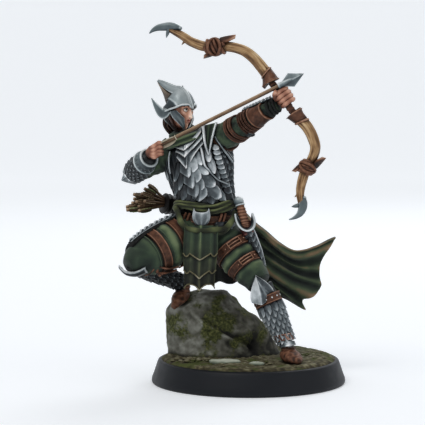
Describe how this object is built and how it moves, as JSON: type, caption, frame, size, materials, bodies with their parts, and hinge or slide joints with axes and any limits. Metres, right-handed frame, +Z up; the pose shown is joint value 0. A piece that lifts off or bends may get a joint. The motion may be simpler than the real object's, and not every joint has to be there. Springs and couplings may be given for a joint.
{
  "type": "painted miniature figure",
  "caption": "Painted tabletop gaming miniature of an armoured archer drawing a bow, one foot on a boulder, on a round black base.",
  "frame": {"origin": "centre of the round base's underside, on the surface it stands on", "axes": "+Z up; -Y is the front, which the tabard and the base's flagstone face; +X is the side that the arrow points to"},
  "size_m": [0.0289, 0.025, 0.0459],
  "materials": {
    "black_plastic": "moulded black polystyrene, matt",
    "earth": "texture paste, dry-brushed olive brown",
    "stone": "cast resin painted as grey-green rock",
    "steel_wire": "plain wire",
    "green_cloth": "cast resin painted deep green with lighter folds",
    "dark_cloth": "cast resin painted near black",
    "brown_leather": "cast resin painted as worn brown leather",
    "silver_armour": "cast resin with metallic silver paint and dark recesses",
    "skin": "cast resin painted as skin",
    "bow_wood": "cast resin painted as ochre wood grain",
    "dark_hair": "cast resin painted dark brown"
  },
  "bodies": {
    "root": {"arrow_fletching": "bow_wood", "arrow_head": "silver_armour", "arrow_shaft": "bow_wood", "back_skirt": "dark_cloth", "baldric": "silver_armour", "base_disc": "black_plastic", "belt_buckle": "silver_armour", "boulder": "stone", "bow_grip": "brown_leather", "cloak": "green_cloth", "dagger_hilt": "brown_leather", "flagstone": "stone", "front_tabard": "green_cloth", "gorget": "silver_armour", "groundwork": "earth", "hair": "dark_hair", "head": "skin", "helmet": "silver_armour", "hip_belt": "brown_leather", "hips": "dark_cloth", "left_ankle_ring": "silver_armour", "left_ankle_strap": "brown_leather", "left_boot": "brown_leather", "left_cheek_guard": "silver_armour", "left_foot_pin": "steel_wire", "left_forearm": "brown_leather", "left_greave": "silver_armour", "left_greave_strap": "brown_leather", "left_hand": "skin", "left_knee_plate": "silver_armour", "left_thigh": "green_cloth", "left_thigh_strap_lower": "brown_leather", "left_thigh_strap_upper": "brown_leather", "left_upper_arm": "green_cloth", "lower_binding": "brown_leather", "lower_claw": "silver_armour", "lower_limb": "bow_wood", "quiver": "dark_cloth", "quiver_arrows": "brown_leather", "right_boot": "brown_leather", "right_cheek_guard": "silver_armour", "right_elbow_cone": "silver_armour", "right_foot_pin": "steel_wire", "right_greave": "silver_armour", "right_hand": "skin", "right_hip_plate": "silver_armour", "right_knee_plate": "silver_armour", "right_thigh": "green_cloth", "right_thigh_strap_inner": "brown_leather", "right_thigh_strap_outer": "brown_leather", "right_upper_arm": "green_cloth", "right_vambrace": "silver_armour", "right_wrist_cuff": "silver_armour", "scabbard": "silver_armour", "scarf": "green_cloth", "torso": "silver_armour", "upper_binding": "brown_leather", "upper_claw": "silver_armour", "upper_limb": "bow_wood", "waist_sash": "green_cloth"}
  },
  "joints": []
}
